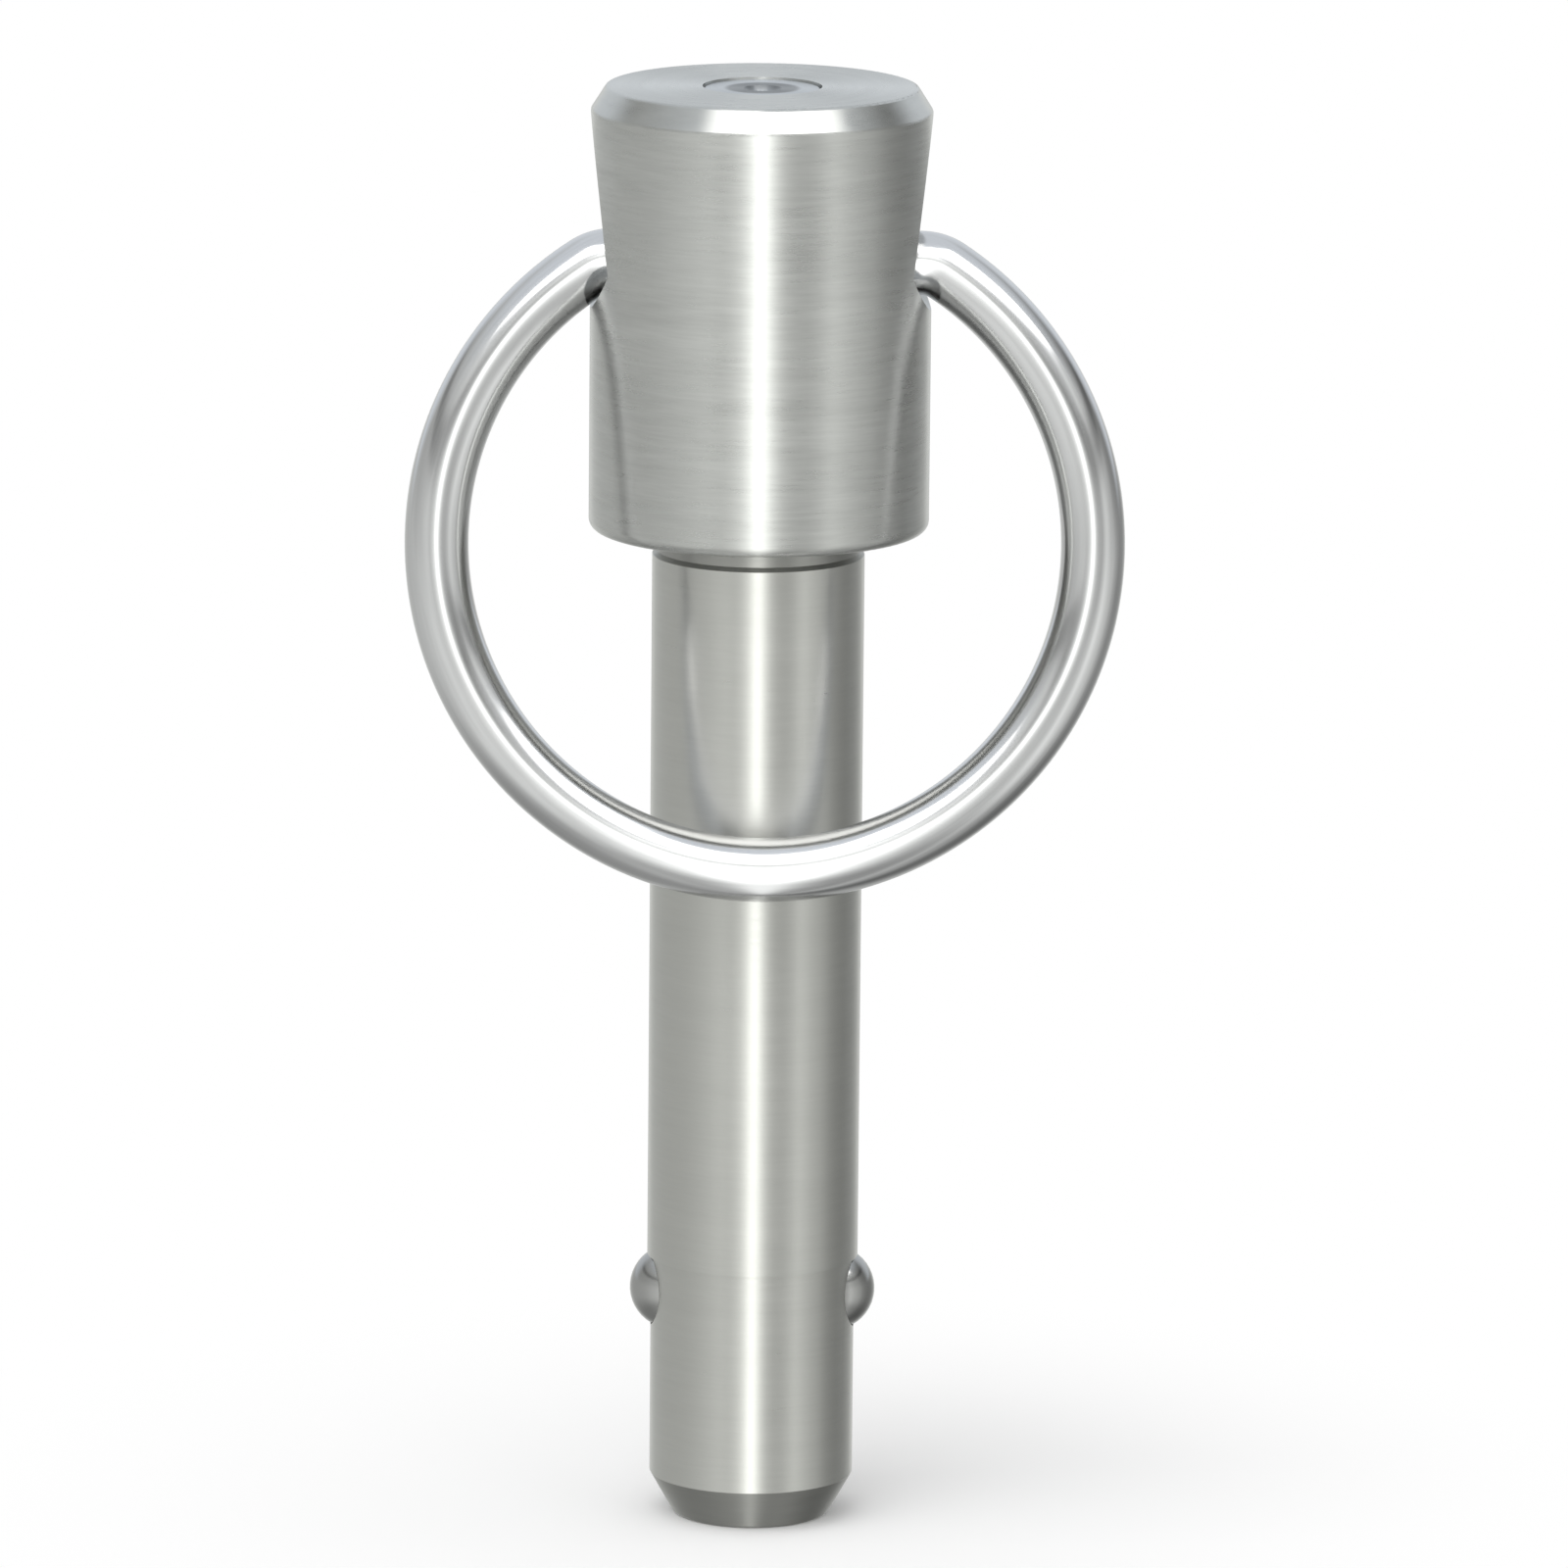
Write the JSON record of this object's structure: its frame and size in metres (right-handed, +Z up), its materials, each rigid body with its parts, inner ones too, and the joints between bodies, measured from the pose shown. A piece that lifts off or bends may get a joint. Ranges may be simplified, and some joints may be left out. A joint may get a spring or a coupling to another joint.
{
  "type": "ball lock pin",
  "caption": "Steel quick-release pin with spring-loaded locking balls near the nose, a cylindrical head with a flush release button, and a swinging pull ring.",
  "frame": {"origin": "on the pin's axis, in the shoulder plane on the underside of the head", "axes": "+Z up the pin from the nose to the head; the balls and the ring's hinge line lie along X; the pull ring hangs on the -Y side"},
  "size_m": [0.0336, 0.0169, 0.0686],
  "materials": {
    "turned_steel": "fine turned satin",
    "ground_steel": "ground satin",
    "button_steel": "faced matt",
    "spindle_steel": "ground",
    "spring_wire": "drawn wire",
    "ball_steel": "polished",
    "ring_wire": "polished wire"
  },
  "bodies": {
    "housing": {"head": "turned_steel", "shank": "ground_steel", "return_spring": "spring_wire"},
    "release": {"release_button": "button_steel", "spindle": "spindle_steel"},
    "ball_left": {"ball_left": "ball_steel"},
    "ball_right": {"ball_right": "ball_steel"},
    "ring": {"pull_ring": "ring_wire"}
  },
  "joints": [
    {"name": "button_push", "type": "slide", "parent": "housing", "child": "release", "axis": [0, 0, -1], "range_m": [0, 0.0036], "stiffness_N_per_m": 1200, "springref_m": -0.003, "deforming": ["return_spring"]},
    {"name": "ball_left_retract", "type": "slide", "parent": "housing", "child": "ball_left", "axis": [1, 0, 0], "range_m": [0, 0.00088]},
    {"name": "ball_right_retract", "type": "slide", "parent": "housing", "child": "ball_right", "axis": [-1, 0, 0], "range_m": [0, 0.00088]},
    {"name": "ring_swing", "type": "hinge", "parent": "housing", "child": "ring", "pos_m": [0, 0, 0.0127], "axis": [-1, 0, 0], "range_deg": [0, 331]}
  ],
  "couplings": [
    {"joint": "ball_left_retract", "follows": "button_push", "ratio": 0.24167},
    {"joint": "ball_right_retract", "follows": "button_push", "ratio": 0.24167}
  ]
}
